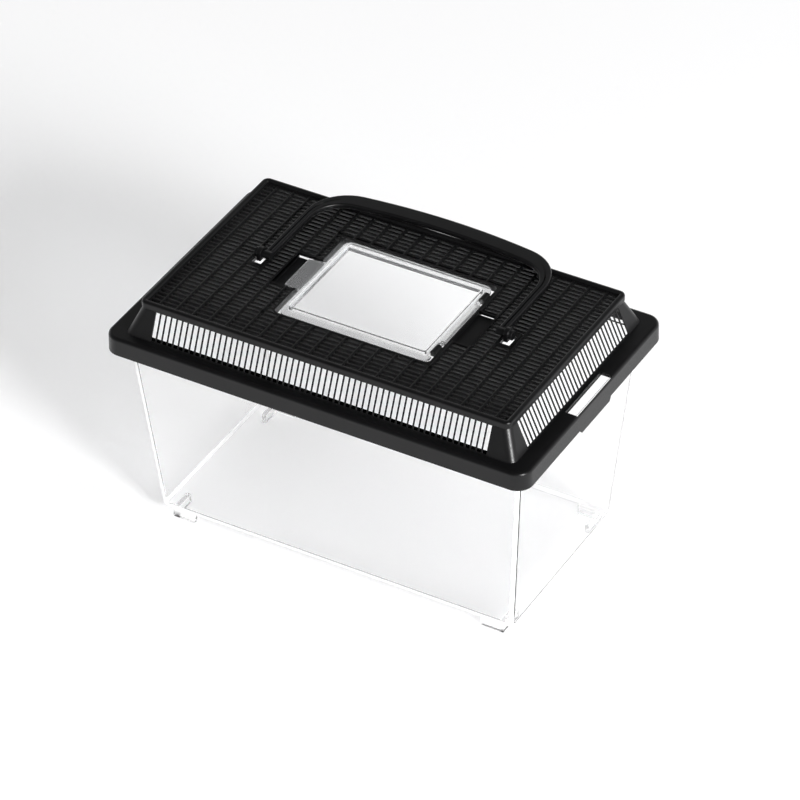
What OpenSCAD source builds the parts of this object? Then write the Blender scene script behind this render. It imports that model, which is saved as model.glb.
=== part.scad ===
// Ventilated pet transport box: a clear tapered tank, a lift-off black lid with
// slatted sides and a grille top, a clear hinged hatch and a folding bail handle.
// Millimetres. X runs along the length, Y to the back, Z up from under the feet.

/* [Tank] */
// Length of the tank under its rim, outside
tank_top_l = 249.8; // [220:0.2:300]
// Width of the tank under its rim, outside
tank_top_w = 140.2; // [125:0.2:180]
// How far each end wall leans out from the floor to the rim
tank_lean_x = 10.7; // [4:0.1:16]
// How far the front and the back lean out from the floor to the rim
tank_lean_y = 11.7; // [4:0.1:16]
// Height of the tank above its feet, to the rim's top
tank_h = 128.76; // [90:0.02:160]
// Thickness of the tank's walls and floor
tank_wall = 2; // [1.6:0.1:2.6]
// Plan radius of the tank's corners
tank_corner_r = 1.5; // [1:0.5:8]
// Radius where the floor turns up into the walls
tank_floor_r = 1.8; // [1:0.1:6]
// How far the rim flange stands out at each end
rim_out_x = 5.9; // [4:0.1:9]
// How far the rim flange stands out at the front and the back
rim_out_y = 9.4; // [5:0.1:12]
// Gap between the rim flange and the inside of the lid's skirt
rim_play = 1.5; // [0.8:0.1:2]
// Thickness of the rim flange
rim_t = 2; // [1.5:0.1:2.5]

/* [Feet] */
// Height of the feet
foot_h = 5.8; // [3:0.1:7]
// Length of a foot's leg along the front or back
foot_leg_x = 14.5; // [10:0.5:24]
// Length of a foot's leg along the side
foot_leg_y = 16; // [10:0.5:24]
// Thickness of a foot's legs
foot_wall = 3; // [2:0.5:5]
// Distance from the tank's end to a foot
foot_inset_x = 6.4; // [5:0.2:10]
// Distance from the tank's front or back to a foot
foot_inset_y = 0.5; // [0.5:0.1:6]

/* [Lid brim] */
// Height of the skirt
skirt_h = 11.36; // [10:0.02:16]
// Thickness of the skirt
skirt_t = 1.1; // [1:0.1:1.5]
// How far the skirt leans in from its lower edge to its top
skirt_draft = 0.2; // [0:0.1:1.2]
// Thickness of the brim
brim_t = 2; // [1.6:0.1:2.6]
// Radius along the brim's outer edge
brim_edge_r = 2; // [1.6:0.1:4]
// Plan radius of the lid's corners
lid_corner_r = 9.5; // [8:0.5:16]
// Length of the see-through window at each end of the brim
window_len = 41.2; // [30:0.2:50]
// Width of that window
window_w = 7.4; // [5:0.1:7.6]
// Length of the grip tab below the skirt at each end
tab_len = 35.2; // [26:0.2:46]
// How far the grip tab hangs below the skirt
tab_drop = 2.8; // [2:0.1:5]

/* [Vent walls] */
// How far the slatted walls lean in on each side
vent_lean = 7.1; // [6:0.1:8]
// Width of the brim outside the end walls
brim_w_x = 10.45; // [9.5:0.05:14]
// Width of the brim outside the long walls
brim_w_y = 7.25; // [5:0.05:12]
// Radius where two slatted walls meet
vent_corner_r = 5; // [3:0.5:6]
// Height of the slatted walls
vent_h = 16.44; // [12:0.02:24]
// Thickness of the slatted walls
vent_t = 1; // [1:0.1:2]
// Distance between the slots of a long wall
vent_pitch_x = 3.55; // [3.4:0.01:3.7]
// Distance between the slots of a short wall
vent_pitch_y = 3.48; // [3.4:0.01:3.7]
// Least width of the solid post where two walls meet
vent_post = 9; // [8.5:0.1:12]
// Width of a slot
vent_slot_w = 2.55; // [1.6:0.05:2.8]

/* [Top] */
// Height of the raised lip's section
lip_h = 4.2; // [3.6:0.1:5]
// How far the slatted walls stand in under the lip
lip_set = 0.6; // [0.3:0.1:1]
// Width of the raised lip's section
lip_band = 3.3; // [3:0.1:3.5]
// Plan radius inside the lip's corners
plate_corner_r = 0.7; // [0.3:0.1:3]
// Radius along the lip's top edges
lip_edge_r = 1.4; // [0.8:0.1:1.5]
// How far the lip stands above the grille's ribs
lip_rise = 1.4; // [1:0.1:1.8]
// Thickness of the grille at its ribs
grille_t = 2.6; // [2:0.1:2.8]
// Distance between the ribs that run front to back
rib_pitch = 10.6; // [10.5:0.1:10.8]
// Width of a rib
rib_w = 1.3; // [1:0.1:2]
// Distance between the slats that run along the length
slat_pitch = 3.383; // [3.3:0.001:3.45]
// Width of a slat
slat_w = 1.55; // [1.2:0.05:2]
// How far the slats lie below the ribs' tops
slat_drop = 0.4; // [0.2:0.1:0.7]

/* [Hatch] */
// Length of the hatch's flange
hatch_l = 94.3; // [90:0.1:95]
// Width of the hatch's flange
hatch_w = 77.6; // [72:0.1:78]
// How far the hatch sits towards the hinge from the lid's middle
hatch_off = 1.75; // [1:0.05:2]
// How far the flange lies below the panel's top
flange_drop = 2.4; // [2:0.1:2.8]
// Thickness of the hatch's flange and panel
hatch_t = 1.5; // [1.2:0.1:1.6]
// Plan radius of the flange's corners
hatch_corner_r = 5; // [4:0.5:6]
// Width of the flange at the hatch's two ends
flange_x = 3.5; // [2.5:0.1:5]
// Width of the flange along the hatch's front and back
flange_y = 5.5; // [4:0.1:8]
// Plan radius of the raised panel's corners
panel_corner_r = 1.8; // [1.7:0.1:4]
// Length of the finger tab at the hatch's free edge
finger_len = 10.2; // [8:0.1:11]
// Gap between the finger tab and the sides of its bay
finger_gap = 0.4; // [0.3:0.1:1]
// How far each side of the finger tab draws in towards its tip
finger_taper = 1.9; // [0:0.1:4]
// Width of the bays at the hatch's two ends
bay_w = 30.8; // [30.6:0.2:32]
// Depth of the finger bay's floor below the grille's ribs
finger_bay_depth = 3.7; // [3.2:0.1:4.2]
// Depth of the bay past the hinge, below the grille's ribs
hinge_bay_depth = 2.8; // [2.4:0.1:3.6]

/* [Hatch hinge] */
// Length of the hinge barrel on the hatch
barrel_len = 40; // [36:0.2:42]
// Radius of the hinge barrel
barrel_r = 1.5; // [1.4:0.05:1.6]
// Radius of the hinge pins
hinge_pin_r = 0.9; // [0.8:0.05:1]
// Running clearance round the hinge pins
hinge_play = 0.06; // [0.03:0.01:0.1]
// Length of each hinge lug on the lid
lug_len = 6.4; // [5:0.1:7]
// Gap between the barrel's end and a lug
lug_gap = 4.1; // [3.6:0.1:4.6]
// Radius of a lug's round top
lug_r = 2; // [1.8:0.05:2.1]

/* [Handle] */
// Distance from the bays' ends to the insides of the legs
handle_clear = 8.3; // [5:0.1:16]
// Reach of the handle from its pivots to the outside of the grip
handle_reach = 77.1; // [74:0.1:84]
// Width of a leg
leg_w = 4.9; // [4.6:0.1:6]
// Width of the grip at its middle
grip_w = 10.4; // [7:0.1:11]
// Thickness of the handle
handle_t = 3.5; // [3.2:0.1:3.8]
// Outer radius of the handle's corners
bend_r = 26; // [22:0.5:30]
// Inner radius of the handle's corners
inner_bend_r = 20; // [16:0.5:24]
// Radius along the handle's edges
handle_edge_r = 1.1; // [0.8:0.1:1.5]
// Radius of the grip's slight bow
bow_r = 400; // [300:10:600]
// Width of the groove down each leg
groove_w = 1.1; // [0.8:0.1:1.4]
// Depth of that groove
groove_depth = 1.4; // [0.8:0.1:2]
// Radius of the round end of a leg
leg_end_r = 2.4; // [2:0.1:2.8]
// Radius of the pivot pins
pivot_pin_r = 1.5; // [1.2:0.05:1.8]
// Running clearance round the pivot pins
pivot_play = 0.08; // [0.03:0.01:0.1]
// Thickness of the ears that hold the handle
ear_t = 2.7; // [2.4:0.1:3]
// Length of an ear along its foot
ear_len = 13; // [12:0.5:14]
// Radius of an ear's round top
ear_r = 3.9; // [3.6:0.1:4.4]
// How far the boss stands out from the ear
boss_h = 2; // [1.8:0.1:2.4]
// Radius of that boss
boss_r = 2.9; // [2.6:0.1:3.2]

/* [Hidden] */

$fn = 48;
// Overrun of every cut
cut = 1;
// Thickness of the sheets that a lofted form is stretched over
skin = 0.01;
// Steps in a rounded edge
edge_steps = 6;
// Gap between the lid and the rim that it rests on
seat_gap = 0.1;
// Gap between parts that move past each other
move_gap = 0.25;
// How far fused pieces run into each other
lap = 1;

// Heights, each from the one below
z_floor = foot_h;
z_rim_top = z_floor + tank_h;
z_rim_low = z_rim_top - rim_t;
z_brim_low = z_rim_top + seat_gap;
z_brim = z_brim_low + brim_t;
z_skirt = z_brim - skirt_h;
z_lip_low = z_brim + vent_h;
z_top = z_lip_low + lip_h;
z_rib = z_top - lip_rise;
z_slat = z_rib - slat_drop;
z_grille_low = z_rib - grille_t;

// Plan sizes, from the tank's top outward and inward again
tank_base_l = tank_top_l - 2 * tank_lean_x;
tank_base_w = tank_top_w - 2 * tank_lean_y;
rim_l = tank_top_l + 2 * rim_out_x;
rim_w = tank_top_w + 2 * rim_out_y;
skirt_in = skirt_draft + skirt_t;
lid_l = rim_l + 2 * (rim_play + skirt_in);
lid_w = rim_w + 2 * (rim_play + skirt_in);
rim_corner_r = lid_corner_r - skirt_in - rim_play;
tank_inner_r = 0.8;
foot_root_share = 0.9;
// The walls part from the floor a little above its inner face
part_share = 0.25;
z_part = z_floor + tank_wall * (1 + part_share);

// Vent walls: their tops stand under the lip, and bands stay round the slots
vent_in = vent_lean - lip_set;
vent_base_l = lid_l - 2 * brim_w_x;
vent_base_w = lid_w - 2 * brim_w_y;
lip_l = vent_base_l - 2 * vent_in;
lip_w = vent_base_w - 2 * vent_in;
lip_corner_r = plate_corner_r + lip_band;
vent_count_x = 2 * floor((lip_l / 2 - vent_post) / vent_pitch_x);
vent_count_y = 2 * floor((lip_w / 2 - vent_post) / vent_pitch_y);
vent_foot_band = 0.2;
vent_head_band = 0.6;

// Brim: the opening inside the slatted walls, and the windows at the ends
brim_open_l = vent_base_l - 2 * vent_t;
brim_open_w = vent_base_w - 2 * vent_t;
vent_inner_r = vent_corner_r - vent_t;
brim_flat_l = lid_l - 2 * (skirt_draft + brim_edge_r);
brim_flat_w = lid_w - 2 * (skirt_draft + brim_edge_r);
brim_flat_r = lid_corner_r - skirt_draft - brim_edge_r;
window_bite = 0.3;
window_x = lid_l / 2 - skirt_in + window_bite - window_w;
tab_bevel = tab_drop / 2;
lift_gap = 0.2;
snap_depth = rim_play - lift_gap;
snap_flat = 0.4;
snap_h = 2 * snap_depth + snap_flat;
snap_low = z_rim_low - snap_h;

// Top: the inside of the lip, and where the grille's panels part
plate_l = lip_l - 2 * lip_band;
plate_w = lip_w - 2 * lip_band;
plate_edge = 0.6;
slat_rows = floor((plate_w / 2 - plate_edge) / slat_pitch);
rib_cols = floor(plate_l / 2 / rib_pitch);

// Hatch seat: a frame round the opening in the lid. The hatch hangs in it on its
// hinge, and its finger tab rests on a sill across the mouth of the finger bay.
seat_margin_x = 2;
seat_margin_y = 1;
seat_l = hatch_l + 2 * seat_margin_x;
seat_w = hatch_w + 2 * seat_margin_y;
seat_corner_r = 3;
seat_rim = 1.3;
seat_left = hatch_off - seat_l / 2;
seat_right = hatch_off + seat_l / 2;
seat_depth = 1.5;
hatch_rest = 0.2;
z_flange = z_top - flange_drop;
z_flange_low = z_flange - hatch_t;
z_sill = z_flange_low - hatch_rest;
z_frame_low = z_sill - seat_depth;
panel_l = hatch_l - 2 * flange_x;
panel_w = hatch_w - 2 * flange_y;

// Hinge: its axis runs along Y at the hatch's right edge
hinge_x = hatch_off + hatch_l / 2;
hinge_z = z_flange + barrel_r / 3;
lug_in = barrel_len / 2 + lug_gap;
lug_out = lug_in + lug_len;
notch_gap = 0.7;
notch_end = 2.5;
notch_in = barrel_len / 2;
notch_out = lug_out + notch_end;
notch_x = hinge_x - lug_r - notch_gap;
pin_seat = lug_len / 2;
bay_floor_t = 1.3;
z_sill_low = z_rib - finger_bay_depth - bay_floor_t;
finger_root_w = bay_w - 2 * finger_gap;
finger_tip_w = finger_root_w - 2 * finger_taper;

// Frame: its edges lie on the nearest rib and slat outside the seat
frame_x = rib_pitch * ceil((hatch_off + seat_l / 2 + seat_rim) / rib_pitch);
frame_y = slat_pitch * ceil((seat_w / 2 + seat_rim) / slat_pitch);
bay_x = frame_x + rib_pitch;

// Handle: flat in its folded place, turning about an axis along X
leg_gap = 0.5;
fold_gap = 0.3;
pivot_z = z_top + handle_t / 2 + fold_gap;
leg_in = bay_x + handle_clear;
leg_out = leg_in + leg_w;
bow_y = handle_reach - bow_r;
bend_x = leg_out - bend_r;
bend_y = bow_y + sqrt((bow_r - bend_r) ^ 2 - bend_x ^ 2);
bend_angle = asin(bend_x / (bow_r - bend_r));
inner_bow_y = bow_y - grip_w;
inner_bend_x = leg_in - inner_bend_r;
inner_bend_y = inner_bow_y + sqrt((bow_r - inner_bend_r) ^ 2 - inner_bend_x ^ 2);
inner_bend_angle = asin(inner_bend_x / (bow_r - inner_bend_r));
groove_start = 2.4;
groove_run = 1;
groove_fade_share = 0.7;
bend_steps = 10;
bow_steps = 6;

// Ears: one on each side, over a moulding hole in the grille
ear_x = leg_out + leg_gap;
pin_end = ear_x + ear_t + boss_h / 2;
bore_end = pin_end + move_gap;
pad_side = 1.4;
pad_y = ear_len / 2 + pad_side;
ear_hole_in = 0.5;
ear_hole_y = [-4.9, 4];
ear_foot_h = 0.9;
ear_side_share = 0.9;

// A rectangle with round corners
module rounded_rect(l, w, r) {
    square([l - 2 * r, w], center = true);
    square([l, w - 2 * r], center = true);
    for (x = [-1, 1], y = [-1, 1])
        translate([x * (l / 2 - r), y * (w / 2 - r)]) circle(r);
}

// A flat plate of that outline, from one height to another
module rounded_plate(l, w, r, low, high) {
    translate([0, 0, low]) linear_extrude(high - low) rounded_rect(l, w, r);
}

// Carries a section round a rounded rectangle. The section is drawn with x
// outward from the outline and y upward.
module ring_sweep(l, w, r) {
    for (k = [0 : 3]) {
        half = k % 2 == 0 ? l / 2 : w / 2;
        run = (k % 2 == 0 ? w : l) - 2 * r;
        rotate([0, 0, 90 * k]) translate([half, 0, 0]) rotate([90, 0, 0])
            linear_extrude(run, center = true) children();
    }
    for (x = [-1, 1], y = [-1, 1]) {
        turn = x > 0 ? (y > 0 ? 0 : 270) : (y > 0 ? 90 : 180);
        translate([x * (l / 2 - r), y * (w / 2 - r), 0]) rotate([0, 0, turn])
            rotate_extrude(angle = 90) translate([r, 0]) children();
    }
}

// Points of a quarter arc from one angle to another
function arc(cx, cy, r, from, to) =
    [for (i = [0 : edge_steps])
        let (a = from + (to - from) * i / edge_steps) [cx + r * cos(a), cy + r * sin(a)]];

// The same shape on both sides of the middle plane across the length
module both_ends() {
    children();
    mirror([1, 0, 0]) children();
}

// The tank's outline at a height, drawn in by some distance
function tank_share(z) = (z - z_floor) / (z_rim_low - z_floor);
function tank_l(z) = tank_base_l + (tank_top_l - tank_base_l) * tank_share(z);
function tank_w(z) = tank_base_w + (tank_top_w - tank_base_w) * tank_share(z);

module tank_sheet(z, inset, r) {
    translate([0, 0, z]) linear_extrude(skin)
        rounded_rect(tank_l(z) - 2 * inset, tank_w(z) - 2 * inset, r);
}

// The tapered body as a solid: rounded into its floor and open to the top
module tank_body(inset, r, floor_r, low, high) {
    hull() {
        for (i = [0 : edge_steps]) {
            a = 90 * i / edge_steps;
            tank_sheet(low + floor_r * (1 - cos(a)), inset + floor_r * (1 - sin(a)), r);
        }
        tank_sheet(high - skin, inset, r);
    }
}

// An L-shaped foot at the back right corner, rooted in the floor
module foot() {
    out_x = tank_base_l / 2 - foot_inset_x;
    out_y = tank_base_w / 2 - foot_inset_y;
    tall = foot_h + tank_wall * foot_root_share;
    translate([out_x - foot_leg_x, out_y - foot_wall, 0]) cube([foot_leg_x, foot_wall, tall]);
    translate([out_x - foot_wall, out_y - foot_leg_y, 0]) cube([foot_wall, foot_leg_y, tall]);
}

// The whole clear moulding without its feet, with a flange round its rim
module tank_shell() {
    difference() {
        union() {
            tank_body(0, tank_corner_r, tank_floor_r, z_floor, z_rim_top);
            rounded_plate(rim_l, rim_w, rim_corner_r, z_rim_low, z_rim_top);
        }
        tank_body(tank_wall, tank_inner_r, tank_inner_r, z_floor + tank_wall, z_rim_top + cut);
    }
}

// The room of the front wall: its ends lie on planes at 45 degrees through the
// corners of the tank's top
module side_room() {
    l = tank_top_l / 2;
    w = tank_top_w / 2;
    translate([0, 0, z_part]) linear_extrude(z_rim_top - z_part + cut)
        polygon([[-l - w, -2 * w], [l + w, -2 * w], [l - w, 0], [w - l, 0]]);
}

// The room of the right-hand wall, between the same planes
module end_room() {
    l = tank_top_l / 2;
    w = tank_top_w / 2;
    translate([0, 0, z_part]) linear_extrude(z_rim_top - z_part + cut)
        polygon([[l - w, 0], [l + w, -2 * w], [l + w, 2 * w]]);
}

// The floor of the tank, with a foot under each corner
module tank_floor() {
    color([0.93, 0.95, 0.96, 0.35]) {
        intersection() {
            tank_shell();
            translate([-rim_l / 2, -rim_w / 2, z_floor]) cube([rim_l, rim_w, z_part - z_floor]);
        }
        for (x = [0, 1], y = [0, 1])
            mirror([x, 0, 0]) mirror([0, y, 0]) foot();
    }
}

// The four walls of the tank, each with its part of the flange
module tank_front() {
    color([0.93, 0.95, 0.96, 0.35]) intersection() { tank_shell(); side_room(); }
}

module tank_back() {
    color([0.93, 0.95, 0.96, 0.35]) intersection() { tank_shell(); mirror([0, 1, 0]) side_room(); }
}

module tank_left() {
    color([0.93, 0.95, 0.96, 0.35]) intersection() { tank_shell(); mirror([1, 0, 0]) end_room(); }
}

module tank_right() {
    color([0.93, 0.95, 0.96, 0.35]) intersection() { tank_shell(); end_room(); }
}

// Section of the skirt: it leans in and turns over into the brim
module skirt_section() {
    polygon(concat(
        [[0, z_skirt]],
        arc(-skirt_draft - brim_edge_r, z_brim - brim_edge_r, brim_edge_r, 0, 90),
        [[-skirt_draft - brim_edge_r, z_brim_low],
         [-skirt_in, z_brim_low],
         [-skirt_t, z_skirt]]
    ));
}

// The grip tab that hangs below the skirt, with bevelled ends
module grip_tab() {
    translate([lid_l / 2 - skirt_t, 0, z_skirt]) rotate([90, 0, 90])
        linear_extrude(skirt_t)
            polygon([
                [-tab_len / 2, 0], [-tab_len / 2 + tab_bevel, -tab_drop],
                [tab_len / 2 - tab_bevel, -tab_drop], [tab_len / 2, 0]
            ]);
}

// The ridge inside the skirt that snaps under the tank's rim
module snap_ridge() {
    translate([lid_l / 2 - skirt_in, tab_len / 2, snap_low]) rotate([90, 0, 0])
        linear_extrude(tab_len)
            polygon([[skirt_t / 2, 0], [0, 0], [-snap_depth, snap_depth],
                [-snap_depth, snap_depth + snap_flat], [0, snap_h], [skirt_t / 2, snap_h]]);
}

// The brim with its skirt, windows, grip tabs and snap ridges
module lid_brim() {
    color([0.03, 0.03, 0.035]) {
        difference() {
            union() {
                ring_sweep(lid_l, lid_w, lid_corner_r) skirt_section();
                rounded_plate(brim_flat_l, brim_flat_w, brim_flat_r, z_brim_low, z_brim);
            }
            rounded_plate(brim_open_l, brim_open_w, vent_inner_r, z_brim_low - cut, z_brim + cut);
            both_ends() translate([window_x, -window_len / 2, z_brim_low - cut])
                cube([window_w, window_len, brim_t + 2 * cut]);
        }
        both_ends() {
            grip_tab();
            snap_ridge();
        }
    }
}

// The leaning block inside a face of the slatted walls, between two heights
module vent_block(l, w, inset, r, low, high) {
    hull() {
        for (z = [low, high - skin]) {
            lean = inset + vent_lean * (z - z_brim) / vent_h;
            rounded_plate(l - 2 * lean, w - 2 * lean, r, z, z + skin);
        }
    }
}

// One slatted wall, leaning in, with mitred ends and a row of slots. It is
// drawn as the front wall of a lid of the given length and width.
module vent_wall(l, w, pitch, count) {
    depth = vent_lean + vent_t;
    reach = depth + vent_corner_r;
    difference() {
        intersection() {
            vent_block(l, w, 0, vent_corner_r, z_brim, z_lip_low);
            translate([0, 0, z_brim]) linear_extrude(vent_h)
                polygon([[-l / 2, -w / 2], [l / 2, -w / 2],
                    [l / 2 - reach, -w / 2 + reach], [-l / 2 + reach, -w / 2 + reach]]);
        }
        vent_block(l, w, vent_t, vent_inner_r, z_brim - cut, z_lip_low + cut);
        for (i = [0 : count - 1])
            translate([(i - (count - 1) / 2) * pitch - vent_slot_w / 2, -w / 2 - cut,
                z_brim + vent_foot_band])
                cube([vent_slot_w, depth + 2 * cut, vent_h - vent_foot_band - vent_head_band]);
    }
}

module vent_front() {
    color([0.03, 0.03, 0.035]) vent_wall(vent_base_l, vent_base_w, vent_pitch_x, vent_count_x);
}

module vent_back() {
    color([0.03, 0.03, 0.035]) rotate([0, 0, 180])
        vent_wall(vent_base_l, vent_base_w, vent_pitch_x, vent_count_x);
}

module vent_left() {
    color([0.03, 0.03, 0.035]) rotate([0, 0, -90])
        vent_wall(vent_base_w, vent_base_l, vent_pitch_y, vent_count_y);
}

module vent_right() {
    color([0.03, 0.03, 0.035]) rotate([0, 0, 90])
        vent_wall(vent_base_w, vent_base_l, vent_pitch_y, vent_count_y);
}

// The raised lip round the top, rounded along both its top edges
module top_lip() {
    color([0.03, 0.03, 0.035])
        ring_sweep(lip_l, lip_w, lip_corner_r)
            polygon(concat(
                [[0, z_lip_low]],
                arc(-lip_edge_r, z_top - lip_edge_r, lip_edge_r, 0, 90),
                arc(-lip_band + lip_edge_r, z_top - lip_edge_r, lip_edge_r, 90, 180),
                [[-lip_band, z_lip_low]]
            ));
}

// A panel of the grille between two corners: slats, with ribs across them
// that stand a little higher. Cells are cut between them.
module grille_panel(from, to) {
    size = to - from;
    intersection() {
        difference() {
            translate([from[0], from[1], z_grille_low]) cube([size[0], size[1], grille_t]);
            for (i = [-rib_cols - 1 : rib_cols], j = [-slat_rows : slat_rows - 1])
                grille_cell(i, j, from, to);
            for (i = [-rib_cols - 1 : rib_cols])
                grille_groove(i, from, to);
        }
        rounded_plate(plate_l, plate_w, plate_corner_r, z_grille_low, z_rib);
    }
}

// Where the cells of a column start and end: the end columns stop at the lip
function column_from(i) = max(i * rib_pitch + rib_w / 2, -plate_l / 2 + plate_edge);
function column_to(i) = min((i + 1) * rib_pitch - rib_w / 2, plate_l / 2 - plate_edge);

module grille_cell(i, j, from, to) {
    x0 = column_from(i);
    x1 = column_to(i);
    y0 = j * slat_pitch + slat_w / 2;
    y1 = (j + 1) * slat_pitch - slat_w / 2;
    if (x0 > from[0] && x1 < to[0] && y0 > from[1] && y1 < to[1])
        translate([x0, y0, z_grille_low - cut]) cube([x1 - x0, y1 - y0, grille_t + 2 * cut]);
}

// Takes the slats of a column down below the ribs
module grille_groove(i, from, to) {
    x0 = column_from(i);
    x1 = column_to(i);
    reach = plate_w / 2 - plate_edge;
    y0 = max(from[1], -reach);
    y1 = min(to[1], reach);
    if (x0 > from[0] && x1 < to[0] && y1 > y0)
        translate([x0, y0, z_slat]) cube([x1 - x0, y1 - y0, slat_drop + cut]);
}

module grille_front() {
    color([0.03, 0.03, 0.035])
        grille_panel([-plate_l / 2, -plate_w / 2], [plate_l / 2, -frame_y]);
}

module grille_back() {
    color([0.03, 0.03, 0.035])
        grille_panel([-plate_l / 2, frame_y], [plate_l / 2, plate_w / 2]);
}

// The right-hand panel, with the solid pad under an ear and its moulding hole
module side_grille() {
    pad_x = ear_x - pad_side;
    pad_l = ear_t + boss_h + 2 * pad_side;
    difference() {
        union() {
            grille_panel([bay_x, -frame_y], [plate_l / 2, frame_y]);
            translate([pad_x, -pad_y, z_grille_low]) cube([pad_l, 2 * pad_y, grille_t]);
        }
        translate([ear_x - ear_hole_in, ear_hole_y[0], z_grille_low - cut])
            cube([ear_hole_in + ear_t + boss_h, ear_hole_y[1] - ear_hole_y[0], grille_t + 2 * cut]);
    }
}

module grille_left() {
    color([0.03, 0.03, 0.035]) mirror([1, 0, 0]) side_grille();
}

module grille_right() {
    color([0.03, 0.03, 0.035]) side_grille();
}

// The short panels of the grille beside the finger bay and the hinge bay
module bay_panel(x, y) {
    color([0.03, 0.03, 0.035])
        mirror([1 - x, 0, 0]) mirror([0, 1 - y, 0])
            grille_panel([frame_x, bay_w / 2], [bay_x, frame_y]);
}

module grille_front_left() { bay_panel(0, 0); }
module grille_front_right() { bay_panel(1, 0); }
module grille_back_left() { bay_panel(0, 1); }
module grille_back_right() { bay_panel(1, 1); }

// Floor of a bay, open at its front and back ends, with a web at its far side
module bay_floor(near, far, depth) {
    web_x = far - sign(far) * rib_w / 2;
    top = z_rib - depth;
    low = top - bay_floor_t;
    translate([0, bay_w / 2, 0]) rotate([90, 0, 0]) linear_extrude(bay_w)
        polygon([[near, low], [near, top], [web_x, top], [web_x, z_rib], [far, z_rib], [far, low]]);
}

// A lug that holds one end of the hatch's hinge
module hinge_lug() {
    difference() {
        union() {
            translate([hinge_x, lug_in, hinge_z]) rotate([-90, 0, 0]) cylinder(lug_len, lug_r, lug_r);
            translate([hinge_x - lug_r, lug_in, z_sill])
                cube([lug_r + seat_margin_x + lap, lug_len, hinge_z - z_sill]);
        }
        translate([hinge_x, lug_in - cut, hinge_z]) rotate([-90, 0, 0])
            cylinder(cut + pin_seat + move_gap, hinge_pin_r + hinge_play, hinge_pin_r + hinge_play);
    }
}

// The cells of the grille that run on into the frame, up to the seat's rim
module frame_cells() {
    cols = round(frame_x / rib_pitch);
    rows = round(frame_y / slat_pitch);
    far = frame_y + cut;
    for (y = [0, 1]) mirror([0, y, 0]) {
        for (j = [0 : rows - 1]) grille_cell(-cols, j, [-frame_x - cut, bay_w / 2], [0, far]);
        for (i = [1 - cols : cols - 1]) grille_cell(i, rows - 1, [-frame_x, 0], [frame_x, far]);
    }
}

// The frame that the hatch sits in, with its bays, sill and hinge lugs
module hatch_frame() {
    color([0.03, 0.03, 0.035]) {
        difference() {
            union() {
                difference() {
                    translate([-frame_x, -frame_y, z_grille_low])
                        cube([2 * frame_x, 2 * frame_y, z_slat - z_grille_low]);
                    frame_cells();
                }
                translate([hatch_off, 0, 0])
                    rounded_plate(seat_l + 2 * seat_rim, seat_w + 2 * seat_rim,
                        seat_corner_r + seat_rim, z_frame_low, z_rib);
            }
            translate([hatch_off, 0, 0])
                rounded_plate(seat_l, seat_w, seat_corner_r, z_frame_low - cut, z_rib + cut);
            translate([-frame_x - cut, -bay_w / 2, z_frame_low - cut])
                cube([seat_left + frame_x + cut, bay_w, z_rib - z_frame_low + 2 * cut]);
            translate([seat_right + seat_rim, -bay_w / 2, z_frame_low - cut])
                cube([frame_x, bay_w, z_rib - z_frame_low + 2 * cut]);
        }
        bay_floor(seat_left - seat_rim + lap, -bay_x, finger_bay_depth);
        translate([seat_left - seat_rim, -bay_w / 2 - lap, z_sill_low])
            cube([seat_rim, bay_w + 2 * lap, z_sill - z_sill_low]);
        bay_floor(seat_right + seat_rim - lap, bay_x, hinge_bay_depth);
        for (y = [0, 1]) mirror([0, y, 0]) hinge_lug();
    }
}

// An ear that carries one end of the handle, with a boss round its bore
module handle_ear() {
    foot = ear_len / 2;
    side_y = ear_r * cos(30) * ear_side_share;
    side_z = pivot_z + ear_r * sin(30) * ear_side_share;
    difference() {
        union() {
            translate([ear_x, 0, 0]) rotate([90, 0, 90]) linear_extrude(ear_t) {
                intersection() {
                    translate([0, pivot_z]) circle(ear_r);
                    translate([-ear_r, z_rib]) square([2 * ear_r, 2 * ear_r + lip_rise]);
                }
                polygon([[-foot, z_rib], [-foot, z_rib + ear_foot_h], [-side_y, side_z],
                    [side_y, side_z], [foot, z_rib + ear_foot_h], [foot, z_rib]]);
            }
            translate([ear_x + ear_t - lap, 0, pivot_z]) rotate([0, 90, 0])
                cylinder(lap + boss_h, boss_r, boss_r);
        }
        translate([ear_x - cut, 0, pivot_z]) rotate([0, 90, 0])
            cylinder(bore_end - ear_x + cut, pivot_pin_r + pivot_play, pivot_pin_r + pivot_play);
    }
}

module handle_ear_left() {
    color([0.03, 0.03, 0.035]) mirror([1, 0, 0]) handle_ear();
}

module handle_ear_right() {
    color([0.03, 0.03, 0.035]) handle_ear();
}

// The hatch's raised panel: a shallow hollow tray with sharp corners
module hatch_panel() {
    difference() {
        rounded_plate(panel_l, panel_w, panel_corner_r, z_flange_low, z_top);
        rounded_plate(panel_l - 2 * hatch_t, panel_w - 2 * hatch_t, panel_corner_r - hatch_t,
            z_flange_low - cut, z_top - hatch_t);
    }
}

// The flange round the panel, notched for the hinge lugs
module hatch_flange() {
    difference() {
        rounded_plate(hatch_l, hatch_w, hatch_corner_r, z_flange_low, z_flange);
        rounded_plate(panel_l - 2 * hatch_t, panel_w - 2 * hatch_t, panel_corner_r - hatch_t,
            z_flange_low - cut, z_flange + cut);
        for (y = [0, 1]) mirror([0, y, 0])
            translate([notch_x - hatch_off, notch_in, z_flange_low - cut])
                cube([hatch_l, notch_out - notch_in, hatch_t + 2 * cut]);
    }
}

module finger_tab() {
    root = hatch_off - hatch_l / 2;
    translate([0, 0, z_flange_low]) linear_extrude(hatch_t)
        polygon([[root + lap, finger_root_w / 2], [root, finger_root_w / 2],
            [root - finger_len, finger_tip_w / 2], [root - finger_len, -finger_tip_w / 2],
            [root, -finger_root_w / 2], [root + lap, -finger_root_w / 2]]);
}

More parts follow.
